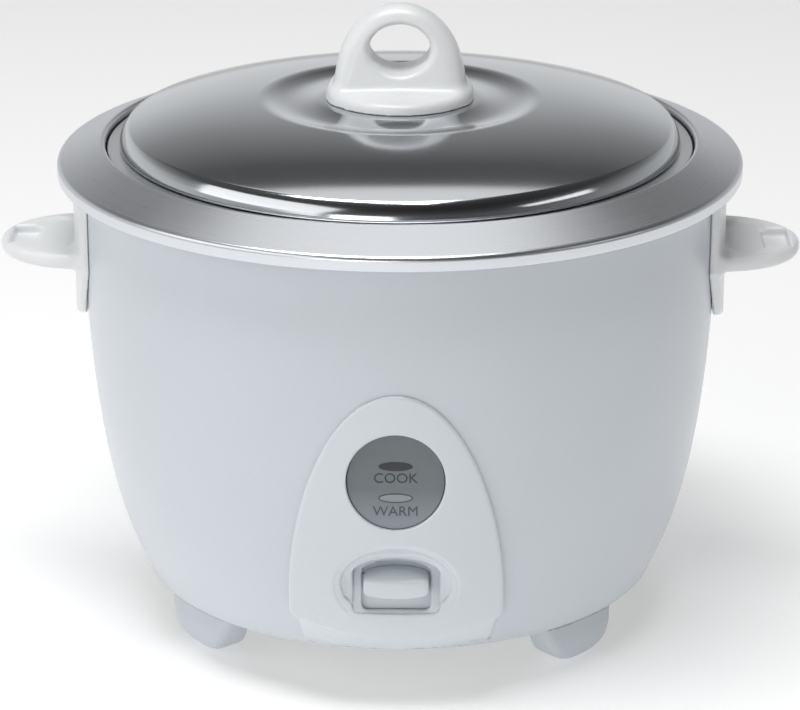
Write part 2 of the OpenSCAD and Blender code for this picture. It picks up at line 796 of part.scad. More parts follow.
module power_inlet() color([0.1, 0.1, 0.11]) {
    r = shell_radius(inlet_z);
    at_angle(inlet_angle) translate([0, -r, inlet_z]) {
        difference() {
            union() {
                translate([-13.3, -2.4, -8.8]) cube([26.6, 22, 17.6]);
                // flange, hollowed to fit the shell's round side
                difference() {
                    translate([-20, -3, -11]) cube([40, 8, 22]);
                    translate([0, r, -12])
                        cylinder(r1 = shell_radius(inlet_z - 12) + 0.8,
                            r2 = shell_radius(inlet_z + 12) + 0.8,
                            h = 24, $fn = 128);
                }
            }
            translate([-11.3, -4, -6.8]) cube([22.6, 19, 13.6]);
            for (x = [-16.8, 16.8])
                translate([x, 8, 0]) rotate([90, 0, 0]) cylinder(r = 1.5, h = 14, $fn = 32);
        }
    }
}

module inlet_pins() color([0.8, 0.65, 0.3]) {
    r = shell_radius(inlet_z);
    at_angle(inlet_angle) translate([0, -r, inlet_z])
        for (p = [[-7, -1.6], [7, -1.6], [0, 2.4]])
            translate([p[0] - 1, 1, p[1] - 2]) cube([2, 14, 4]);
}

module inlet_screws() color([0.6, 0.6, 0.62]) {
    r = shell_radius(inlet_z);
    at_angle(inlet_angle) translate([0, -r, inlet_z])
        for (x = [-16.8, 16.8])
            translate([x, -3, 0]) rotate([90, 0, 0]) {
                cylinder(r = 2.6, h = 1.4, $fn = 32);
                translate([0, 0, -2]) cylinder(r = 1.5, h = 2.2, $fn = 32);
            }
}

// ---------- pot ----------

module inner_pot() color([0.78, 0.79, 0.80]) {
    top = pot_flange_z - 1.2;
    rotate_extrude($fn = 128)
        polygon(concat(
            [[0.01, pot_z]],
            arc([pot_r - pot_corner, pot_z + pot_corner], pot_corner, -90, 0, 8),
            [[pot_r, top], [pot_flange_r, top], [pot_flange_r, pot_flange_z],
                [pot_r - pot_t, pot_flange_z]],
            reversed(arc([pot_r - pot_corner, pot_z + pot_corner], pot_corner - pot_t, -90, 0, 8)),
            [[0.01, pot_z + pot_t]]));
}

// ---------- lid ----------

module lid_dome() color([0.70, 0.72, 0.73]) {
    steps = 14;
    outer = concat(
        [[lid_r - 0.9, bead_z + bead_r * 0.6], [crease_r, dome_height(crease_r)]],
        [for (i = [1:steps]) let (r = crease_r + (dish_r - crease_r) * i / steps) [r, dome_height(r)]],
        [[dish_floor_r + 2, dish_low + 0.1], [dish_floor_r - 2, dish_low]],
        [[knob_seat_r, dish_z], [2.6, dish_z]]);
    inner = concat(
        [[2.6, dish_z - lid_t], [knob_seat_r - 0.2, dish_z - lid_t]],
        [[dish_floor_r - 2, dish_low - lid_t], [dish_floor_r + 1.8, dish_low + 0.1 - lid_t]],
        [for (i = [0:steps]) let (r = dish_r - 0.2 + (crease_r - 0.5 - dish_r) * i / steps)
            [r, dome_height(r) - lid_t]],
        [[lid_r - 0.9 - lid_t, bead_z + bead_r * 0.6]]);
    rotate_extrude($fn = 128) polygon(concat(outer, inner));
    rotate_extrude($fn = 128) translate([lid_r - bead_r, bead_z]) circle(r = bead_r, $fn = 32);
}

// Front outline of the knob's arch, from its flange up
module knob_arch_outline() {
    base = knob_flange - 1;
    difference() {
        polygon(concat(
            [[-knob_arch_w, base]],
            [for (i = [0:24]) let (a = 180 - 180 * i / 24)
                [knob_arch_w * cos(a), knob_h - knob_arch_b + knob_arch_b * sin(a)]],
            [[knob_arch_w, base]]));
        polygon(ellipse(knob_hole_w, knob_hole_h, 40, [0, knob_h - 6.6 - knob_hole_h]));
    }
}

module lid_knob() color([0.95, 0.96, 0.96]) {
    translate([0, 0, dish_z]) {
        difference() {
            union() {
                intersection() {
                    rotate([90, 0, 0]) translate([0, 0, -20]) linear_extrude(height = 40)
                        knob_arch_outline();
                    rotate([90, 0, 90]) translate([0, 0, -40]) linear_extrude(height = 80)
                        polygon([[-11.6, 0], [11.6, 0], [11.4, knob_flange + 1], [8.6, 14],
                            [6.6, knob_h - 5],
                            [4.6, knob_h - 1], [3, knob_h + 1], [-3, knob_h + 1], [-4.6, knob_h - 1],
                            [-6.6, knob_h - 5], [-8.6, 14], [-11.4, knob_flange + 1]]);
                }
                rotate_extrude($fn = 96)
                    polygon(concat(
                        [[0.01, 0.1], [knob_r - 0.4, 0.1], [knob_r, 0.6],
                            [knob_r - 0.9, knob_flange - 1.2]],
                        arc([knob_r - 2.4, knob_flange - 1.6], 1.6, 20, 90, 5),
                        [[0.01, knob_flange + 0.6]]));
            }
            translate([0, 0, -1]) cylinder(r = 1.7, h = 6, $fn = 32);
            // hollow under the foot
            difference() {
                translate([0, 0, -1]) cylinder(r = knob_r - 3, h = 3);
                translate([0, 0, -2]) cylinder(r = 5, h = 6);
            }
        }
    }
}

module lid_washer() color([0.7, 0.7, 0.7]) {
    translate([0, 0, dish_z - lid_t - 1]) tube(6, 1.75, 1);
}

module lid_screw() color([0.7, 0.7, 0.7]) {
    translate([0, 0, dish_z - lid_t - 1]) rotate([180, 0, 0]) {
        cylinder(r = 4, h = 2.2, $fn = 32);
        translate([0, 0, -6.4]) cylinder(r = 1.7, h = 6.5, $fn = 32);
    }
}

outer_shell();
rim_collar();
inner_liner();
bottom_plate();
foot(foot_angles[0]);  // foot_front_left
foot(foot_angles[1]);  // foot_front_right
foot(foot_angles[2]);  // foot_rear_left
foot(foot_angles[3]);  // foot_rear_right
front_panel();
indicator_window();
lamp_holder();
cook_lamp();
warm_lamp();
handle_left();
handle_right();
handle_screws();
heating_plate();
heating_element();
element_terminals();
plate_spacers();
plate_screws();
thermostat_frame();
cap_spring();
sensor_cap();
ferrite_core();
magnet();
magnet_rod();
magnet_spring();
cook_paddle();
lever_arm();
lever_pin();
lever_bracket();
bracket_rivets();
micro_switch();
keep_warm_thermostat();
thermal_fuse();
fuse_clip();
power_inlet();
inlet_pins();
inlet_screws();
bottom_screws();
inner_pot();
lid_dome();
lid_knob();
lid_washer();
lid_screw();
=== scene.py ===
import json
import math

import bmesh
import bpy
import numpy as np
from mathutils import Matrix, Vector


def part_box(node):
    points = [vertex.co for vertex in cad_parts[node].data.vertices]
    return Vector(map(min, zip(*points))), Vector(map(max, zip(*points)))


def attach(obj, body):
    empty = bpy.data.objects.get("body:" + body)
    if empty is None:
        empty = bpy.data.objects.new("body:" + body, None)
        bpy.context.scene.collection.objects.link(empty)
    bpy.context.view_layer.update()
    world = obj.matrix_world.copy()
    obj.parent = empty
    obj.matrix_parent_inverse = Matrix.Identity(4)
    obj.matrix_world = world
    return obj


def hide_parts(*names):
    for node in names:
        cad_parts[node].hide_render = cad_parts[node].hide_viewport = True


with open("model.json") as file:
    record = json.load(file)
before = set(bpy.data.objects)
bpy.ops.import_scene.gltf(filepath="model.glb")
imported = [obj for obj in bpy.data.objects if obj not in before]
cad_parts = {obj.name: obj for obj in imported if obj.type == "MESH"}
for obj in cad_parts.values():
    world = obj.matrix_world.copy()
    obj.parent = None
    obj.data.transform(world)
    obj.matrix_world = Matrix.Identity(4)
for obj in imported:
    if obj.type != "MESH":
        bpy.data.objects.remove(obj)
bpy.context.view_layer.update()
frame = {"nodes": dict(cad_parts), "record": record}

# The looks of a drum-shaped electric rice cooker, built round its CAD model.
# Shapes are worked out in millimetres and turned into metres when a mesh is made.

MM = 0.001


def cad(node):
    """Lowest and highest corner of a CAD node, in millimetres."""
    lo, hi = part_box(node)
    return lo / MM, hi / MM


# ---------------------------------------------------------------- dimensions

shell_lo, shell_hi = cad("outer_shell")
collar_lo, collar_hi = cad("rim_collar")
lid_lo, lid_hi = cad("lid_dome")
knob_lo, knob_hi = cad("lid_knob")
pot_lo, pot_hi = cad("inner_pot")
_, panel_hi = cad("front_panel")
window_lo, window_hi = cad("indicator_window")
paddle_lo, _ = cad("cook_paddle")
_, handle_hi = cad("handle_right")

BODY_R = shell_hi.x
BASE_R = 91.0
FOOT_H = shell_lo.z
SHELL_TOP = shell_hi.z
STRAIGHT_Z = 140.0
SHELL_T = 1.0

LIP_R = collar_hi.x
LIP_Z = collar_lo.z + 6.3
RIDGE_R = 104.4
RIDGE_Z = collar_hi.z

LID_R = lid_hi.x
DISH_R = 47.5
DOME_TOP = 190.6
KNOB_Z = knob_lo.z
KNOB_TOP = knob_hi.z
KNOB_R = knob_hi.x

POT_R = 95.0
POT_Z = pot_lo.z
POT_FLANGE_R = pot_hi.x
POT_TOP = pot_hi.z

PANEL_W = panel_hi.x
PANEL_TOP = panel_hi.z
PANEL_MID = 43.0
PANEL_LOW = 26.5
PROUD_TOP = 1.2
PROUD_LOW = 4.8
PANEL_BACK = -60.0           # nothing of the panel lies behind this depth
WINDOW_Z = (window_lo.z + window_hi.z) / 2
WINDOW_R = 16.25
WINDOW_TALL = 1.055          # the window is a little taller than wide
WELL_Z = 48.4
WELL_W = 20.0
WELL_H = 15.6
WELL_DEPTH = 6.0
RECESS_W = 14.5
RECESS_LOW = 37.6
RECESS_HIGH = 57.6
RECESS_MID = (RECESS_LOW + RECESS_HIGH) / 2
RECESS_TALL = RECESS_HIGH - RECESS_LOW
FLOOR_Y = -97.3
FLOOR_TILT = math.radians(12)
SLOT_W = 11.6                # the slot in the floor of the recess, for the stem
SLOT_LOW = 38.4
SLOT_HIGH = 55.0
PADDLE_W = 10.9
PADDLE_LOW = 43.6
PADDLE_HIGH = 53.2
STEM_Z = 47.5
APRON_W = 12.2                # the plate behind the paddle that closes the slot
APRON_Z = 46.8
APRON_H = 8.8
PADDLE_FACE = paddle_lo.y

REACH = handle_hi.x
HANDLE_LOW = 110.0
HANDLE_HIGH = 162.0
HANDLE_W = 30.0
WING_LOW = 133.0
WING_HIGH = 138.6
WING_W = 26.0


def shell_radius(z):
    """Outside radius of the body's shell at height z."""
    u = np.maximum(0.0, (STRAIGHT_Z - z) / (STRAIGHT_Z - FOOT_H))
    return BODY_R - (BODY_R - BASE_R) * (0.68 * u ** 2 + 0.32 * u ** 6)


def panel_proud(z):
    """How far the front panel stands out from the shell at height z."""
    return PROUD_TOP + (PROUD_LOW - PROUD_TOP) * (PANEL_TOP - z) / (PANEL_TOP - PANEL_LOW)


def panel_edge(x):
    """Height of the front panel's lower edge at distance x from its middle."""
    return PANEL_LOW + 8.4 * (x / PANEL_W) ** 2


def dome_height(r):
    """Height of the lid's upper face at radius r, outside its dish."""
    return DOME_TOP - 4.1 * (r / 90) ** 2 - 4.5 * (r / 90) ** 4


# ---------------------------------------------------------------- meshes from outlines


def rounded(corners, steps=5):
    """A closed outline from (r, z, radius) corners, each rounded to its radius."""
    outline = []
    count = len(corners)
    for i, (r, z, radius) in enumerate(corners):
        here = Vector((r, z))
        if radius <= 0:
            outline.append((r, z))
            continue
        before = (Vector(corners[i - 1][:2]) - here)
        after = (Vector(corners[(i + 1) % count][:2]) - here)
        half = before.angle(after) / 2
        back = min(radius / math.tan(half), 0.49 * before.length, 0.49 * after.length)
        radius = back * math.tan(half)
        middle = here + (before.normalized() + after.normalized()).normalized() * (radius / math.sin(half))
        start = here + before.normalized() * back - middle
        end = here + after.normalized() * back - middle
        for k in range(steps + 1):
            spoke = start.slerp(end, k / steps, start.lerp(end, k / steps)) if start.length else start
            point = middle + spoke.normalized() * radius
            outline.append((point.x, point.y))
    return outline


def mesh_object(name, points, faces, normals=None):
    """A smooth-shaded object from points in millimetres."""
    mesh = bpy.data.meshes.new(name)
    mesh.from_pydata((np.asarray(points) * MM).tolist(), [], faces)
    mesh.polygons.foreach_set("use_smooth", [True] * len(mesh.polygons))
    mesh.update()
    if normals is not None:
        mesh.normals_split_custom_set_from_vertices(normals.tolist())
    piece = bpy.data.objects.new(name, mesh)
    bpy.context.scene.collection.objects.link(piece)
    return piece


def lathe(name, outline, segments=192, place=None):
    """A closed outline of (r, z) points turned round the Z axis."""
    angles = np.linspace(0, 2 * math.pi, segments, endpoint=False)
    points, rings = [], []
    for r, z in outline:
        if r < 1e-6:
            rings.append([len(points)] * segments)
            points.append((0.0, 0.0, z))
        else:
            rings.append(list(range(len(points), len(points) + segments)))
            points.extend((r * math.cos(a), r * math.sin(a), z) for a in angles)
    faces = []
    for i, ring in enumerate(rings):
        above = rings[(i + 1) % len(rings)]
        for k in range(segments):
            n = (k + 1) % segments
            loop = [ring[k], ring[n], above[n], above[k]]
            corners = list(dict.fromkeys(loop))
            if len(corners) > 2:
                faces.append(corners)
    area = sum(a[0] * b[1] - b[0] * a[1] for a, b in zip(outline, outline[1:] + outline[:1]))
    if area < 0:
        faces = [face[::-1] for face in faces]
    points = np.array(points)
    if place is not None:
        points = place(points)
    piece = mesh_object(name, points, faces)
    piece.modifiers.new("even_normals", "WEIGHTED_NORMAL")
    return piece


# ---------------------------------------------------------------- meshes from distance fields


def smooth_max(a, b, k):
    """The larger of two fields, with a round of about 0.85 k where they meet."""
    h = np.maximum(k - np.abs(a - b), 0.0) / k
    return np.maximum(a, b) + h * h * k / 4


def smooth_min(a, b, k):
    return -smooth_max(-a, -b, k)


def outline_distance(points, u, v):
    """Signed distance from (u, v) to a closed outline, negative inside it."""
    u, v = np.broadcast_arrays(u, v)
    best = np.full(u.shape, 1e9)
    inside = np.zeros(u.shape, bool)
    for (ax, ay), (bx, by) in zip(points, points[1:] + points[:1]):
        ex, ey = bx - ax, by - ay
        wx, wy = u - ax, v - ay
        t = np.clip((wx * ex + wy * ey) / (ex * ex + ey * ey), 0, 1)
        best = np.minimum(best, (wx - ex * t) ** 2 + (wy - ey * t) ** 2)
        if by != ay:
            crosses = ((ay > v) != (by > v)) & (u < ex * (v - ay) / (by - ay) + ax)
            inside ^= crosses
    return np.where(inside, -1, 1) * np.sqrt(best)


def ellipse_distance(u, v, a, b):
    """Near enough the signed distance to an ellipse with half axes a and b."""
    size = np.sqrt((u / a) ** 2 + (v / b) ** 2)
    slope = np.sqrt((u / a ** 2) ** 2 + (v / b ** 2) ** 2)
    return np.where(slope > 1e-9, size * (size - 1) / np.maximum(slope, 1e-9), -np.minimum(a, b))


CORNERS = [(i, j, k) for i in (0, 1) for j in (0, 1) for k in (0, 1)]
EDGES = [(a, b) for a in CORNERS for b in CORNERS if a < b and sum(abs(p - q) for p, q in zip(a, b)) == 1]


def solid(name, field, lo, hi, step):
    """The surface where field(x, y, z) is zero, between the corners lo and hi."""
    axes = [np.arange(l, h + step, step) for l, h in zip(lo, hi)]
    x, y, z = axes[0][:, None, None], axes[1][None, :, None], axes[2][None, None, :]
    values = np.broadcast_to(field(x, y, z), [len(a) for a in axes]).copy()
    values[np.abs(values) < 1e-7] = 1e-7
    cells = [n - 1 for n in values.shape]

    def corner(c):
        return values[c[0]:c[0] + cells[0], c[1]:c[1] + cells[1], c[2]:c[2] + cells[2]]

    total, count = np.zeros(cells + [3]), np.zeros(cells)
    for a, b in EDGES:
        va, vb = corner(a), corner(b)
        cut = (va < 0) != (vb < 0)
        t = np.where(cut, va / np.where(cut, va - vb, 1), 0)
        for axis in range(3):
            total[..., axis] += np.where(cut, a[axis] + t * (b[axis] - a[axis]), 0)
        count += cut
    active = count > 0
    index = np.full(cells, -1)
    index[active] = np.arange(active.sum())
    base = np.argwhere(active)
    points = (base + total[active] / count[active][:, None]) * step + np.array([a[0] for a in axes])
    faces = []
    for axis in range(3):
        u, v = (axis + 1) % 3, (axis + 2) % 3
        a = [slice(None)] * 3
        b = [slice(None)] * 3
        for other in (u, v):
            a[other] = b[other] = slice(1, -1)
        a[axis], b[axis] = slice(None, -1), slice(1, None)
        low, high = values[tuple(a)] < 0, values[tuple(b)] < 0
        at = np.argwhere(low != high)
        flip = low[low != high]
        at[:, u] += 1
        at[:, v] += 1
        quad = []
        for du, dv in ((-1, -1), (0, -1), (0, 0), (-1, 0)):
            cell = at.copy()
            cell[:, u] += du
            cell[:, v] += dv
            quad.append(index[cell[:, 0], cell[:, 1], cell[:, 2]])
        quad = np.stack(quad, 1)
        quad[~flip] = quad[~flip][:, ::-1]
        faces.append(quad)
    faces = np.concatenate(faces)
    normals = None
    for _ in range(3):
        slope, here = gradient(field, points)
        length = np.maximum(np.linalg.norm(slope, axis=1, keepdims=True), 1e-3)
        normals = slope / length
        move = np.clip(-here[:, None] / length, -0.3 * step, 0.3 * step)
        points = points + normals * move
    return mesh_object(name, points, faces.tolist(), normals)


def gradient(field, points, reach=0.03):
    """Slope and value of a field at some points."""
    x, y, z = points.T
    slope = np.stack([
        field(x + reach, y, z) - field(x - reach, y, z),
        field(x, y + reach, z) - field(x, y - reach, z),
        field(x, y, z + reach) - field(x, y, z - reach)], 1) / (2 * reach)
    return slope, field(x, y, z)


# ---------------------------------------------------------------- materials


def new_material(name):
    material = bpy.data.materials.new(name)
    material.use_nodes = True
    return material, material.node_tree.nodes, material.node_tree.links


def shade(color, factor):
    return tuple(min(1.0, c * factor) for c in color) + (1.0,)


def finish(name, color, roughness, metallic=0.0, grain=1500.0, tint=0.03, uneven=0.05, bump=0.004,
           coat=0.0, turned=False, anisotropic=0.0, cloud=18.0, painted_light_z=None, transmission=0.0,
           subsurface=0.0, ior=1.5):
    """A procedural finish. grain is the fine texture's scale per metre, tint how much it varies the
    colour, uneven how much the roughness varies, bump its height in millimetres. turned makes rings
    round the Z axis."""
    material, nodes, links = new_material(name)
    shader = nodes["Principled BSDF"]
    shader.inputs["Metallic"].default_value = metallic
    shader.inputs["Coat Weight"].default_value = coat
    shader.inputs["Coat Roughness"].default_value = 0.12
    shader.inputs["Anisotropic"].default_value = anisotropic
    shader.inputs["Transmission Weight"].default_value = transmission
    shader.inputs["IOR"].default_value = ior
    if subsurface:
        shader.inputs["Subsurface Weight"].default_value = subsurface
        shader.inputs["Subsurface Scale"].default_value = 0.002
    where = nodes.new("ShaderNodeTexCoord")
    fine = nodes.new("ShaderNodeTexNoise")
    fine.inputs["Detail"].default_value = 3.0
    if turned:
        flat = nodes.new("ShaderNodeVectorMath")
        flat.operation = "MULTIPLY"
        flat.inputs[1].default_value = (1, 1, 0)
        length = nodes.new("ShaderNodeVectorMath")
        length.operation = "LENGTH"
        links.new(where.outputs["Object"], flat.inputs[0])
        links.new(flat.outputs["Vector"], length.inputs[0])
        height = nodes.new("ShaderNodeSeparateXYZ")
        links.new(where.outputs["Object"], height.inputs[0])
        both = nodes.new("ShaderNodeMath")
        both.operation = "ADD"
        links.new(length.outputs["Value"], both.inputs[0])
        links.new(height.outputs["Z"], both.inputs[1])
        fine.noise_dimensions = "1D"
        links.new(both.outputs["Value"], fine.inputs["W"])
    else:
        links.new(where.outputs["Object"], fine.inputs["Vector"])
    fine.inputs["Scale"].default_value = grain
    broad = nodes.new("ShaderNodeTexNoise")
    broad.inputs["Scale"].default_value = cloud
    broad.inputs["Detail"].default_value = 4.0
    links.new(where.outputs["Object"], broad.inputs["Vector"])
    mixed = nodes.new("ShaderNodeMath")
    mixed.operation = "MULTIPLY_ADD"
    mixed.inputs[1].default_value = 0.6
    links.new(fine.outputs["Fac"], mixed.inputs[0])
    half = nodes.new("ShaderNodeMath")
    half.operation = "MULTIPLY"
    half.inputs[1].default_value = 0.4
    links.new(broad.outputs["Fac"], half.inputs[0])
    links.new(half.outputs["Value"], mixed.inputs[2])
    ramp = nodes.new("ShaderNodeValToRGB")
    ramp.color_ramp.elements[0].position = 0.3
    ramp.color_ramp.elements[0].color = shade(color, 1 - tint)
    ramp.color_ramp.elements[1].position = 0.7
    ramp.color_ramp.elements[1].color = shade(color, 1 + tint)
    links.new(mixed.outputs["Value"], ramp.inputs["Fac"])
    tone = ramp.outputs["Color"]
    # Painted light: below the given height band the colour blends to a lighter colour, so the lower part of the
    # surface is painted lighter.
    if painted_light_z is not None:
        low, high, painted_light_color = painted_light_z
        split = nodes.new("ShaderNodeSeparateXYZ")
        links.new(where.outputs["Object"], split.inputs[0])
        level = nodes.new("ShaderNodeMapRange")
        level.inputs["From Min"].default_value = low * MM
        level.inputs["From Max"].default_value = high * MM
        links.new(split.outputs["Z"], level.inputs["Value"])
        blend = nodes.new("ShaderNodeMix")
        blend.data_type = "RGBA"
        blend.inputs["A"].default_value = painted_light_color + (1.0,)
        links.new(level.outputs["Result"], blend.inputs["Factor"])
        links.new(tone, blend.inputs["B"])
        tone = blend.outputs["Result"]
    links.new(tone, shader.inputs["Base Color"])
    rough = nodes.new("ShaderNodeMapRange")
    rough.inputs["From Min"].default_value = 0.25
    rough.inputs["From Max"].default_value = 0.75
    rough.inputs["To Min"].default_value = max(0.02, roughness - uneven)
    rough.inputs["To Max"].default_value = min(1.0, roughness + uneven)
    links.new(mixed.outputs["Value"], rough.inputs["Value"])
    links.new(rough.outputs["Result"], shader.inputs["Roughness"])
    if bump:
        relief = nodes.new("ShaderNodeBump")
        relief.inputs["Strength"].default_value = 1.0
        relief.inputs["Distance"].default_value = bump * MM
        links.new(fine.outputs["Fac"], relief.inputs["Height"])
        links.new(relief.outputs["Normal"], shader.inputs["Normal"])
    if anisotropic:
        tangent = nodes.new("ShaderNodeTangent")
        tangent.direction_type = "RADIAL"
        tangent.axis = "Z"
        links.new(tangent.outputs["Tangent"], shader.inputs["Tangent"])
    return material


LOOKS = {
    "shell_silver": finish("silver_paint", (0.60, 0.64, 0.68), 0.34, metallic=0.12, grain=2600, tint=0.035,
                           bump=0.003, coat=0.35),
    "satin_aluminium": finish("satin_aluminium", (0.72, 0.74, 0.77), 0.30, metallic=1.0, grain=5200,
                              tint=0.03,
                              bump=0.0015, turned=True, anisotropic=0.35),
    "polished_steel": finish("polished_steel", (0.60, 0.62, 0.64), 0.13, metallic=1.0, grain=4200, tint=0.03,
                             uneven=0.03, bump=0.0006, turned=True, anisotropic=0.25),
    "pot_aluminium": finish("spun_aluminium", (0.72, 0.73, 0.74), 0.33, metallic=1.0, grain=2600, tint=0.05,
                            bump=0.004, turned=True, anisotropic=0.4),
    "cast_aluminium": finish("cast_aluminium", (0.60, 0.61, 0.62), 0.42, metallic=1.0, grain=1800, tint=0.08,
                             bump=0.012),
    "plated_steel": finish("plated_steel", (0.62, 0.63, 0.62), 0.34, metallic=1.0, grain=900, tint=0.10,
                           bump=0.004),
    "spring_steel": finish("spring_steel", (0.45, 0.45, 0.46), 0.28, metallic=1.0, grain=1400, tint=0.06),
    "element_steel": finish("element_steel", (0.20, 0.17, 0.15), 0.5, metallic=0.9, grain=700, tint=0.25,
                            bump=0.01),
    "white_plastic": finish("white_plastic", (0.76, 0.775, 0.785), 0.30, grain=2200, tint=0.012, bump=0.003,
                            coat=0.15, subsurface=0.15),
    "panel_plastic": finish("panel_plastic", (0.66, 0.70, 0.735), 0.30, grain=2400, tint=0.02, bump=0.003,
                            coat=0.25),
    "foot_plastic": finish("foot_plastic", (0.56, 0.60, 0.64), 0.42, grain=1800, tint=0.03, bump=0.006),
    "black_plastic": finish("black_plastic", (0.022, 0.022, 0.024), 0.42, grain=3000, tint=0.2, bump=0.02),
    # Painted light: the window lens is painted lighter towards its bottom.
    "smoked_window": finish("smoked_window", (0.125, 0.150, 0.160), 0.16, grain=3600, tint=0.05, bump=0.001,
                            coat=0.6, painted_light_z=(WINDOW_Z - 15, WINDOW_Z - 3, (0.23, 0.26, 0.29))),
    "lamp_glass": finish("lamp_glass", (0.9, 0.55, 0.35), 0.08, grain=800, tint=0.05, bump=0.0,
                         transmission=0.8),
    "circuit_board": finish("circuit_board", (0.35, 0.24, 0.10), 0.55, grain=1500, tint=0.12, bump=0.01),
    "ferrite": finish("ferrite", (0.03, 0.03, 0.033), 0.55, grain=1600, tint=0.3, bump=0.01),
    "ceramic_white": finish("unglazed_ceramic", (0.72, 0.69, 0.62), 0.75, grain=1300, tint=0.06, bump=0.015),
    "brass_contact": finish("brass_contact", (0.70, 0.50, 0.20), 0.30, metallic=1.0, grain=1700, tint=0.08),
}
PRINT_DARK = finish("dark_print", (0.030, 0.034, 0.038), 0.45, grain=2600, tint=0.15, bump=0.0)
PRINT_GREY = finish("grey_print", (0.060, 0.070, 0.075), 0.45, grain=2600, tint=0.15, bump=0.0)
LAMP_LIGHT = finish("pale_slot", (0.26, 0.29, 0.31), 0.35, grain=2600, tint=0.08, bump=0.0)


def dress(piece, body, slot, *nodes, look=None):
    """Gives a piece its finish, its body and the CAD nodes that it stands for."""
    piece.data.materials.clear()
    piece.data.materials.append(look or LOOKS[slot])
    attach(piece, body)
    if nodes:
        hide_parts(*nodes)
    return piece


# ---------------------------------------------------------------- housing


def panel_points(grow=0.0):
    """Outline of the front panel seen from the front, as (x, z) points."""
    w = PANEL_W + grow
    top = PANEL_TOP + grow
    arch = [i / 20 for i in range(21)]
    right = []
    for i in arch:
        u = 1 - (1 - i) ** 2
        right.append((w * (1 - u ** 1.8) ** 0.48, PANEL_MID + (top - PANEL_MID) * u))
    left = [(-x, z) for x, z in right[-2::-1]]
    corner = 5.0
    turn_z = panel_edge(w - corner) - grow + 4.2
    points = right + left
    for i in range(7):
        a = math.radians(180 + 10 * i)
        points.append((corner - w + corner * math.cos(a), turn_z + corner * math.sin(a)))
    for i in range(-6, 7):
        x = (w - 6) * i / 7
        points.append((x, panel_edge(x) - grow))
    for i in range(7):
        a = math.radians(300 + 10 * i)
        points.append((w - corner + corner * math.cos(a), turn_z + corner * math.sin(a)))
    return points


PANEL_OUTLINE = panel_points()


def make_shell():
    """Drawn sheet bowl with a rolled bottom edge, open behind the front panel and at the power inlet."""
    heights = np.linspace(FOOT_H + 1.2, SHELL_TOP, 60)
    hem = [(BASE_R + 0.05 + 0.6 * math.cos(a), FOOT_H + 0.62 + 0.6 * math.sin(a))
           for a in np.radians([200, 235, 270, 305, 340])]
    outer = [(float(shell_radius(z)), float(z)) for z in heights]
    inner = [(r - SHELL_T, z) for r, z in outer[::-1]]
    piece = lathe("shell_skin", hem + outer + inner, segments=288)
    mesh = piece.data
    centres = np.array([p.center for p in mesh.polygons]) / MM
    opening = outline_distance(PANEL_OUTLINE, centres[:, 0], centres[:, 2]) < -6.5
    behind_panel = opening & (centres[:, 1] < 0)
    inlet_lo, inlet_hi = cad("power_inlet")
    at_inlet = (np.abs(centres[:, 0]) < 12) & (centres[:, 1] > 0)
    at_inlet &= np.abs(centres[:, 2] - (inlet_lo.z + inlet_hi.z) / 2) < 8
    edit = bmesh.new()
    edit.from_mesh(mesh)
    edit.faces.ensure_lookup_table()
    doomed = [edit.faces[i] for i in np.flatnonzero(behind_panel | at_inlet)]
    bmesh.ops.delete(edit, geom=doomed, context="FACES")
    edit.to_mesh(mesh)
    edit.free()
    return dress(piece, "housing", "shell_silver", "outer_shell")


def make_collar():
    """Bright ring round the mouth: an inner ridge, a sloping face and a rolled lip."""
    outline = rounded([
        (RIDGE_R - 1.3, 167.8, 0.3), (RIDGE_R - 1.3, RIDGE_Z + 0.6, 1.3), (LIP_R, LIP_Z + 4.6, 2.2),
        (LIP_R, LIP_Z - 0.1, 0.6), (LIP_R - 1.3, LIP_Z - 0.1, 0.5), (LIP_R - 1.3, LIP_Z + 3.4, 0.8),
        (BODY_R - 2.9, LIP_Z + 6.8, 0.8), (BODY_R - 3.0, 158.2, 0.2), (BODY_R - 4.0, 158.2, 0.2),
        (BODY_R - 4.0, LIP_Z + 7.4, 0.5), (RIDGE_R + 0.4, RIDGE_Z - 2.3, 0.6), (RIDGE_R, 167.8, 0.3)],
        steps=7)
    return dress(lathe("collar_ring", outline, segments=288), "housing", "satin_aluminium", "rim_collar")


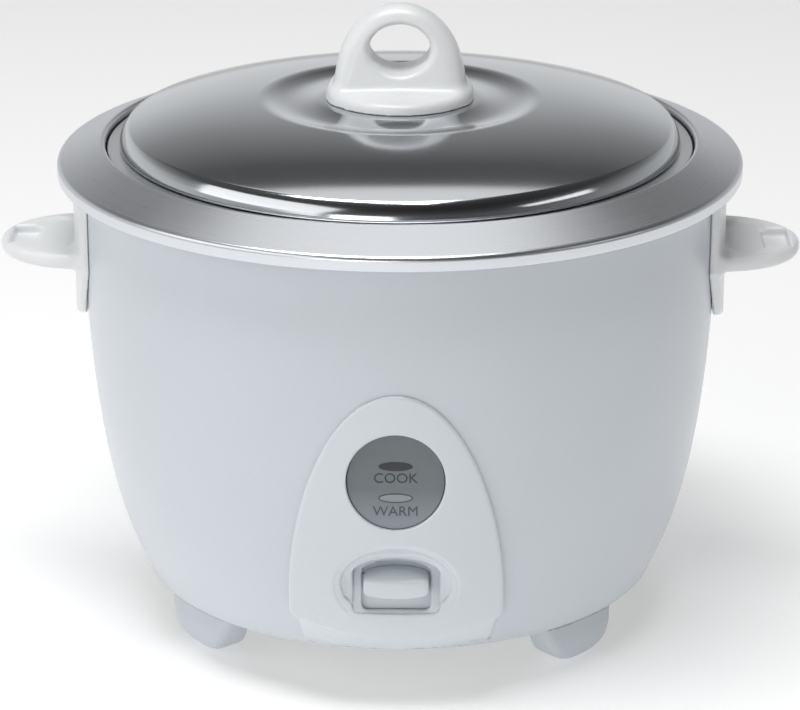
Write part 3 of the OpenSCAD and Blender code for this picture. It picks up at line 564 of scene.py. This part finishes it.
def panel_field(x, y, z):
    r = np.hypot(x, y)
    shell = shell_radius(z)
    outer = r - (shell + panel_proud(z))
    outline = outline_distance(PANEL_OUTLINE, x, z)
    body = smooth_max(outline, outer, 1.3)
    edge = panel_edge(x)
    low_z = FOOT_H + 0.3
    foot_r = BASE_R + 0.7
    edge_r = shell_radius(edge) + panel_proud(edge) - 1.5
    rise = np.clip((z - low_z) / (edge - low_z), 0, 1.2)
    chin_r = foot_r + (edge_r - foot_r) * rise
    chin_w = PANEL_W - 4.6 + 2.6 * rise
    chin = smooth_max(smooth_max(r - chin_r, np.abs(x) - chin_w, 1.6), low_z - z, 0.4)
    chin = np.maximum(chin, z - edge - 3.0)
    body = smooth_min(body, chin, 0.5)
    body = np.maximum(body, shell + 0.02 - r)
    oval = ellipse_distance(x, z - WELL_Z, WELL_W, WELL_H)
    from_middle = np.sqrt((x / WELL_W) ** 2 + ((z - WELL_Z) / WELL_H) ** 2)
    depth = (WELL_DEPTH + 1.2 * np.tanh((z - WELL_Z) / 4)) * (1 - np.minimum(from_middle, 1.0) ** 2.6)
    floor = recess_floor_distance(y, z)
    bowl_face = smooth_min(outer + depth, -1.0 - floor, 1.5)
    bowl = np.maximum(np.maximum(bowl_face, -4.0 - bowl_face), np.maximum(oval - 3.0, outer + 0.5))
    tray = np.maximum(np.abs(x) - RECESS_W - 2.4, np.abs(z - RECESS_MID) - RECESS_TALL / 2 - 3.2)
    tray = np.maximum(tray, outer + 2.0)
    wall = np.maximum(np.minimum(bowl, tray), floor - 1.6)
    hollow = np.maximum(outline + 3.0, outer + 2.2)
    seat = window_distance(x, z)
    boss = np.maximum(np.maximum(seat - 1.8, window_lo.y + 1.5 - y), outer + 0.5)
    boss = np.maximum(boss, y - (window_lo.y + 1.5))
    body = np.maximum(body, -hollow)
    body = np.minimum(body, np.minimum(wall, boss))
    body = smooth_max(body, -np.maximum(oval, -bowl_face), 2.2)
    arch = arched_slot(x, z, RECESS_W, RECESS_LOW, RECESS_HIGH, 5.0)
    body = smooth_max(body, -np.maximum(arch, floor), 0.9)
    slot = arched_slot(x, z, SLOT_W, SLOT_LOW, SLOT_HIGH, 4.0)
    body = smooth_max(body, -np.maximum(slot, y - PANEL_BACK), 0.5)
    body = smooth_max(body, -np.maximum(seat - 0.15, y - PANEL_BACK), 0.8)
    return np.maximum(body, y - PANEL_BACK)


def recess_floor_distance(y, z):
    """Distance behind the sloping floor of the paddle's recess."""
    return (y - FLOOR_Y) * math.cos(FLOOR_TILT) - (z - RECESS_HIGH) * math.sin(FLOOR_TILT)


def window_distance(x, z):
    """Distance from the window's outline, seen from the front."""
    return ellipse_distance(x, z - WINDOW_Z, WINDOW_R, WINDOW_R * WINDOW_TALL)


def arched_slot(x, z, w, low, high, rise):
    """Distance to a slot with a flat bottom and an arched top, seen from the front."""
    top = high - rise + rise * np.sqrt(np.maximum(0.0, 1 - (x / (w + 0.01)) ** 2))
    sides = smooth_max(np.abs(x) - w, low - z, 2.4)
    return np.maximum(sides, (z - top) * 0.8)


def make_panel():
    piece = solid("panel_face", panel_field, (-PANEL_W - 2, -113.5, FOOT_H - 1), (PANEL_W + 2, -84.0,
                                                                                  PANEL_TOP + 2), 0.6)
    return dress(piece, "housing", "panel_plastic", "front_panel")


def facing_front(depth):
    """Turns points made round the Z axis so that +Z faces the user, with z = 0 at that depth."""
    def place(points):
        x, y, z = points.T
        return np.stack([x, depth - z, WINDOW_Z + y * WINDOW_TALL], 1)
    return place


def make_window():
    face = window_lo.y
    outline = rounded([
        (0, -2.6, 0), (0, 0, 0), (WINDOW_R, 0, 0.4), (WINDOW_R, -1.6, 0.1), (WINDOW_R + 1.7, -1.6, 0.2),
        (WINDOW_R + 1.7, -2.6, 0.2), (WINDOW_R, -2.6, 0)])
    piece = lathe("window_lens", outline, segments=128, place=facing_front(face))
    dress(piece, "housing", "smoked_window", "indicator_window")
    return face


def make_mark(name, height, thickness, a, b, look, face, hole=0.0):
    """A flat printed ellipse on the window, or a ring when hole is given."""
    count = 64
    points, faces = [], []
    for level in (0.0, thickness):
        for inner in (False, True):
            for k in range(count):
                t = 2 * math.pi * k / count
                shrink = hole if inner else 0.0
                ra, rb = ((a - shrink), (b - shrink)) if (not inner or hole) else (0.001, 0.001)
                points.append((ra * math.cos(t), face - 0.02 - level, WINDOW_Z + height + rb * math.sin(t)))
    def ring(level, inner):
        return (level * 2 + inner) * count
    for k in range(count):
        n = (k + 1) % count
        faces.append((ring(1, 0) + k, ring(1, 0) + n, ring(1, 1) + n, ring(1, 1) + k))
        faces.append((ring(0, 1) + k, ring(0, 1) + n, ring(0, 0) + n, ring(0, 0) + k))
        faces.append((ring(0, 0) + k, ring(0, 0) + n, ring(1, 0) + n, ring(1, 0) + k))
        faces.append((ring(1, 1) + k, ring(1, 1) + n, ring(0, 1) + n, ring(0, 1) + k))
    piece = mesh_object(name, points, faces)
    piece.data.polygons.foreach_set("use_smooth", [False] * len(piece.data.polygons))
    return dress(piece, "housing", "smoked_window", look=look)


def make_word(name, word, height, size, look, face):
    """A plain printed function word on the window."""
    curve = bpy.data.curves.new(name, "FONT")
    curve.body = word
    curve.size = size * MM
    curve.align_x = "CENTER"
    curve.align_y = "CENTER"
    curve.extrude = 0.02 * MM
    curve.resolution_u = 6
    piece = bpy.data.objects.new(name, curve)
    bpy.context.scene.collection.objects.link(piece)
    piece.location = Vector((0, face - 0.04, WINDOW_Z + height)) * MM
    piece.rotation_euler = (math.pi / 2, 0, 0)
    return dress(piece, "housing", "smoked_window", look=look)


def make_window_marks(face):
    make_mark("cook_mark", 5.2, 0.05, 5.7, 1.6, PRINT_DARK, face)
    make_mark("warm_mark_fill", -6.0, 0.03, 5.4, 1.4, LAMP_LIGHT, face)
    make_mark("warm_mark_ring", -6.0, 0.05, 5.7, 1.65, PRINT_DARK, face, hole=0.35)
    make_word("cook_word", "COOK", 0.9, 4.9, PRINT_DARK, face)
    make_word("warm_word", "WARM", -10.8, 4.9, PRINT_GREY, face)


FOOT_SIDE = [(-18.6, 24), (-18.6, 7.5), (-18.0, 4.6), (-16.6, 2.2), (-14.4, 0.7), (-11.5, 0.0), (-5.0, 0.0),
             (-1.5, 0.6), (2.5, 2.2), (6.6, 5.0), (10.2, 8.8), (13.2, 12.8), (15.8, 17.0), (18.6, 24)]


def foot_field(turn, slant):
    """A crescent-shaped foot that carries on the shell's bottom edge and draws in towards the floor.
    slant is the side, seen from outside, that slopes in to the narrow base."""
    def field(x, y, z):
        a = math.radians(turn)
        across = (x * math.cos(a) + y * math.sin(a)) * slant
        out = x * math.sin(a) - y * math.cos(a)
        radius = np.hypot(x, y)
        outline = outline_distance(FOOT_SIDE, across, z)
        draw_in = np.clip(1 - z / 15, 0, 1)
        outside = (radius - (BASE_R - 0.1 - 6.6 * draw_in ** 2)) * 0.92
        inside = np.hypot(across, out - (BASE_R + 2.4)) - 19.4
        shape = smooth_max(outline, outside, 3.4)
        shape = smooth_max(shape, inside, 2.0)
        under_shell = np.maximum(radius - (BASE_R - 1.7), z - 20.1)
        shape = np.maximum(shape, np.minimum(z - (FOOT_H - 0.25), under_shell))
        shape = smooth_max(shape, 0.01 - z, 0.8)
        return np.maximum(shape, -out)

    return field


def make_feet():
    for name, angle, slant in (("front_left", -47.5, 1), ("front_right", 47.5, -1),
                               ("rear_left", -132.5, -1), ("rear_right", 132.5, 1)):
        node = "foot_" + name
        lo, hi = cad(node)
        field = foot_field(angle - 3.2, slant)
        piece = solid(node + "_leg", field, (lo.x - 3, lo.y - 3, -1.0), (hi.x + 3, hi.y + 3, 21.4), 0.7)
        dress(piece, "housing", "foot_plastic", node)


def handle_field(side):
    def field(x, y, z):
        out = x * side
        radius = np.hypot(x, y)
        width = HANDLE_W * np.clip((z - HANDLE_LOW + 2.0) / 26.0, 0.0001, 1) ** 0.5
        plate = smooth_max(np.abs(y) - width, HANDLE_LOW - z, 9.0)
        plate = np.maximum(plate, z - HANDLE_HIGH)
        plate = smooth_max(plate, radius - (BODY_R + 3.6 - 0.9 * (y / HANDLE_W) ** 2), 2.6)
        root = BODY_R + 1.0
        plan = ellipse_distance(np.maximum(out - root, 0.0), y, REACH - root, WING_W)
        plan = np.maximum(plan, np.abs(y) - WING_W)
        wing = smooth_max(plan, np.abs(z - (WING_LOW + WING_HIGH) / 2) - (WING_HIGH - WING_LOW) / 2, 2.6)
        shape = smooth_min(plate, wing, 3.5)
        pocket = np.maximum(np.abs(out - (REACH - 8.2)) - 4.4, np.abs(y) - 9.5)
        pocket = smooth_max(pocket, (WING_HIGH - 3.6) - z, 1.6)
        shape = smooth_max(shape, -pocket, 1.4)
        dish = smooth_max(ellipse_distance(out - (root + 9.5), y, 9.0, 19.0), (WING_HIGH - 1.2) - z, 2.2)
        shape = smooth_max(shape, -dish, 1.8)
        return np.maximum(shape, BODY_R + 0.02 - radius)
    return field


def make_handles():
    for node, side in (("handle_left", -1), ("handle_right", 1)):
        lo, hi = cad(node)
        piece = solid(node + "_grip", handle_field(side), (lo.x - 2, lo.y - 2, lo.z - 2), (hi.x + 2,
                                                                                           hi.y + 2,
                                                                                           hi.z + 2), 0.65)
        dress(piece, "housing", "white_plastic", node)


# ---------------------------------------------------------------- switch, pot and lid


def paddle_field(x, y, z):
    top = PADDLE_HIGH - 1.9 * (x / PADDLE_W) ** 2
    low = PADDLE_LOW + 1.7 * (x / PADDLE_W) ** 2
    front = smooth_max(smooth_max(z - top, low - z, 1.0), np.abs(x) - PADDLE_W, 1.6)
    ridge_z = PADDLE_HIGH - 3.4
    upper = ((z - ridge_z) * 0.80 - (y - PADDLE_FACE) * 0.60)
    lower = -(z - ridge_z) * 0.25 - (y - PADDLE_FACE) * 0.97
    side = smooth_max(upper, lower, 1.2)
    bowed = np.hypot(x, y - (PADDLE_FACE + 45)) - 45
    head = smooth_max(smooth_max(front, side, 1.0), bowed, 0.8)
    head = np.maximum(head, y - (PADDLE_FACE + 9))
    stem = np.maximum(np.abs(x) - 7, np.abs(z - STEM_Z) - 2.5)
    stem = np.maximum(stem, np.abs(y - (PADDLE_FACE + 15.5)) - 7.5)
    back = recess_floor_distance(y, z)
    apron = np.maximum(np.maximum(np.abs(x) - APRON_W, np.abs(back - 2.6) - 0.6), np.abs(z - APRON_Z) - APRON_H)
    stem = np.minimum(stem, apron)
    slot = np.maximum(np.abs(x) - 5, np.abs(z - STEM_Z) - 0.65)
    slot = np.maximum(slot, PADDLE_FACE + 11 - y)
    return np.maximum(np.minimum(head, stem), -slot)


def make_paddle():
    piece = solid("paddle_bar", paddle_field, (-13.5, PADDLE_FACE - 1.5, 34.5), (13.5, PADDLE_FACE + 24.5,
                                                                                 56.8), 0.4)
    return dress(piece, "lever", "panel_plastic", "cook_paddle")


def make_pot():
    """Spun pot with a flat flange and a rounded bottom corner."""
    thick = 1.5
    corners = [
        (0, POT_Z, 0), (POT_R, POT_Z, 12), (POT_R, POT_TOP - 1.2, 1.0), (POT_FLANGE_R, POT_TOP - 1.2, 0.5),
        (POT_FLANGE_R, POT_TOP, 0.5), (POT_R - thick, POT_TOP, 1.2), (POT_R - thick, POT_Z + thick, 10.5),
        (0, POT_Z + thick, 0)]
    return dress(lathe("pot_body", rounded(corners, steps=9), segments=256), "pot", "pot_aluminium",
                 "inner_pot")


def make_lid():
    """Pressed lid: rolled edge, crease, dome, and a sunk ring round the knob's seat."""
    thick = 0.8
    bead_r = 1.1
    bead_z = lid_lo.z + bead_r
    crease = LID_R - 2.6
    roll = [(LID_R - bead_r + bead_r * math.cos(a), bead_z + bead_r * math.sin(a))
            for a in np.radians(np.linspace(-200, 30, 14))]
    skirt = [(LID_R - 0.35, bead_z + 1.4), (LID_R - 0.75, bead_z + 2.6), (LID_R - 1.5, bead_z + 3.9)]
    dome = [(r, dome_height(r)) for r in np.linspace(crease, DISH_R + 1.2, 40)]
    low = dome_height(DISH_R) - 1.6
    dish = [(DISH_R - 0.6, dome_height(DISH_R) - 0.22), (DISH_R - 2.4, low + 0.95), (DISH_R - 5.5,
                                                                                     low + 0.25),
            (39.0, low + 0.02), (36.0, low + 0.06), (32.0, low + 0.55), (29.5, low + 1.1), (27.5, low + 1.5),
            (25.0, low + 1.6), (2.6, low + 1.6)]
    top = skirt + dome + dish
    under = [(r - (0.7 if r > crease - 1 else 0.1), z - thick) for r, z in top[::-1]]
    under[-1] = (LID_R - 1.9, bead_z + 1.0)
    return dress(lathe("lid_shell", roll + top + under, segments=288), "lid", "polished_steel", "lid_dome")


def knob_field(x, y, z):
    h = z - KNOB_Z
    r = np.hypot(x, y)
    total = KNOB_TOP - KNOB_Z
    flange = smooth_max(r - (KNOB_R - 0.10 * h), h - (4.3 - 0.045 * np.maximum(r - 12, 0)), 2.6)
    arch_b = 28.0
    up = np.maximum(h - (total - arch_b), 0)
    arch = ellipse_distance(x, up, 22.4 + 0.9 * np.clip(1 - h / 12, 0, 1), arch_b)
    half_y = 12.0 - 6.4 * np.clip((h - 3) / (total - 3), 0, 1) ** 0.9
    loop = smooth_max(arch, np.abs(y) - half_y, 6.0)
    hole = ellipse_distance(x, h - (total - 6.6 - 8.5), 10.7, 8.5)
    loop = smooth_max(loop, -hole, 2.4)
    shape = smooth_min(loop, flange, 4.0)
    return np.maximum(shape, 0.02 - h)


def make_knob():
    piece = solid("knob_loop", knob_field, (-KNOB_R - 2, -KNOB_R - 2, KNOB_Z - 1), (KNOB_R + 2,
                                                                                    KNOB_R + 2,
                                                                                    KNOB_TOP + 2), 0.6)
    return dress(piece, "lid", "white_plastic", "lid_knob")


# ---------------------------------------------------------------- carried-over CAD parts


def dress_cad_parts():
    """Gives every CAD node that still shows the finish of its material slot."""
    slots = {part["node"]: part["material_slot"] for part in frame["record"]["subparts"]}
    for node, piece in frame["nodes"].items():
        if piece.hide_render:
            continue
        piece.data.materials.clear()
        piece.data.materials.append(LOOKS[slots[node]])


# ---------------------------------------------------------------- studio

FLOOR_GLOW = 0.34
CAMERA_TARGET = (0, 0, 0.093)
CAMERA_DISTANCE = 1.2
CAMERA_AZIMUTH = 0.75
CAMERA_ELEVATION = 19.91
CAMERA_LENS = 150.4
SOFTBOXES = [                # name, azimuth, elevation, distance, size, radiance
    ("left_box", -58, 30, 1.9, (1.9, 0.9), 1.3),
    ("right_box", 68, 27, 1.9, (1.0, 0.24), 1.3),
    ("front_box", -14, 12, 2.3, (0.9, 0.5), 4.4),
    ("key_box", -25, 75, 1.8, (1.2, 0.5), 9.5),
    ("overhead_box", 183, 80, 1.75, (1.15, 1.8), 0.9),
]


def make_floor():
    """A plain pale floor, the same all over."""
    material, nodes, links = new_material("studio_floor")
    shader = nodes["Principled BSDF"]
    shader.inputs["Base Color"].default_value = (0.80, 0.80, 0.80, 1)
    shader.inputs["Roughness"].default_value = 0.9
    shader.inputs["Specular IOR Level"].default_value = 0.1
    shader.inputs["Emission Color"].default_value = (1, 1, 1, 1)
    shader.inputs["Emission Strength"].default_value = FLOOR_GLOW
    bpy.ops.mesh.primitive_plane_add(size=14, location=(0, 0, -0.0004))
    floor = bpy.context.object
    floor.name = "studio_floor"
    floor.data.materials.append(material)


def softbox(name, azimuth, elevation, distance, size, radiance):
    """A rectangular light that faces the object from that direction, as bright as radiance says."""
    data = bpy.data.lights.new(name, "AREA")
    data.shape = "RECTANGLE"
    data.size, data.size_y = size
    data.energy = radiance * math.pi * size[0] * size[1]
    light = bpy.data.objects.new(name, data)
    back = direction(azimuth, elevation)
    light.location = back * distance
    light.rotation_euler = back.to_track_quat("Z", "Y").to_euler()
    bpy.context.scene.collection.objects.link(light)


def direction(azimuth, elevation):
    """Unit vector from the object; azimuth 0 is the front and 90 the right."""
    a, e = math.radians(azimuth), math.radians(elevation)
    return Vector((math.sin(a) * math.cos(e), -math.cos(a) * math.cos(e), math.sin(e)))


def make_world():
    """Studio surroundings: pale grey up to eye level, darker above, dimmer in front and on the right."""
    world = bpy.data.worlds.new("studio")
    bpy.context.scene.world = world
    world.use_nodes = True
    nodes, links = world.node_tree.nodes, world.node_tree.links
    where = nodes.new("ShaderNodeTexCoord")
    split = nodes.new("ShaderNodeSeparateXYZ")
    links.new(where.outputs["Generated"], split.inputs[0])
    ramp = nodes.new("ShaderNodeValToRGB")
    stops = [(0.0, 0.80), (0.50, 0.80), (0.60, 0.72), (0.70, 0.33), (0.80, 0.11), (1.0, 0.11)]
    while len(ramp.color_ramp.elements) < len(stops):
        ramp.color_ramp.elements.new(0.5)
    for element, (position, value) in zip(ramp.color_ramp.elements, stops):
        element.position = position
        element.color = (value, value * 1.01, value * 1.02, 1)
    level = nodes.new("ShaderNodeMapRange")
    level.inputs["From Min"].default_value = -1
    links.new(split.outputs["Z"], level.inputs["Value"])
    links.new(level.outputs["Result"], ramp.inputs["Fac"])
    aim = nodes.new("ShaderNodeVectorMath")
    aim.operation = "DOT_PRODUCT"
    aim.inputs[1].default_value = (-0.42, 0.84, 0)
    links.new(where.outputs["Generated"], aim.inputs[0])
    side = nodes.new("ShaderNodeMapRange")
    side.inputs["From Min"].default_value = -1
    side.inputs["To Min"].default_value = 0.12
    side.inputs["To Max"].default_value = 1.15
    links.new(aim.outputs["Value"], side.inputs["Value"])
    dim = nodes.new("ShaderNodeVectorMath")
    dim.operation = "SCALE"
    links.new(ramp.outputs["Color"], dim.inputs["Vector"])
    links.new(side.outputs["Result"], dim.inputs["Scale"])
    links.new(dim.outputs["Vector"], nodes["Background"].inputs["Color"])
    nodes["Background"].inputs["Strength"].default_value = 0.9


def make_camera():
    """Long lens in front, a little to the right and above, as far off as the object's perspective needs."""
    back = direction(CAMERA_AZIMUTH, CAMERA_ELEVATION)
    data = bpy.data.cameras.new("camera")
    data.sensor_width = 36.0
    data.lens = CAMERA_LENS
    camera = bpy.data.objects.new("camera", data)
    camera.location = Vector(CAMERA_TARGET) + back * CAMERA_DISTANCE
    camera.rotation_euler = (-back).to_track_quat("-Z", "Y").to_euler()
    bpy.context.scene.collection.objects.link(camera)
    bpy.context.scene.camera = camera


def make_studio():
    bpy.context.scene.view_settings.view_transform = "Standard"
    make_floor()
    make_world()
    for box in SOFTBOXES:
        softbox(*box)


make_camera()
make_shell()
make_collar()
make_panel()
make_window_marks(make_window())
make_feet()
make_handles()
make_paddle()
make_pot()
make_lid()
make_knob()
dress_cad_parts()
make_studio()
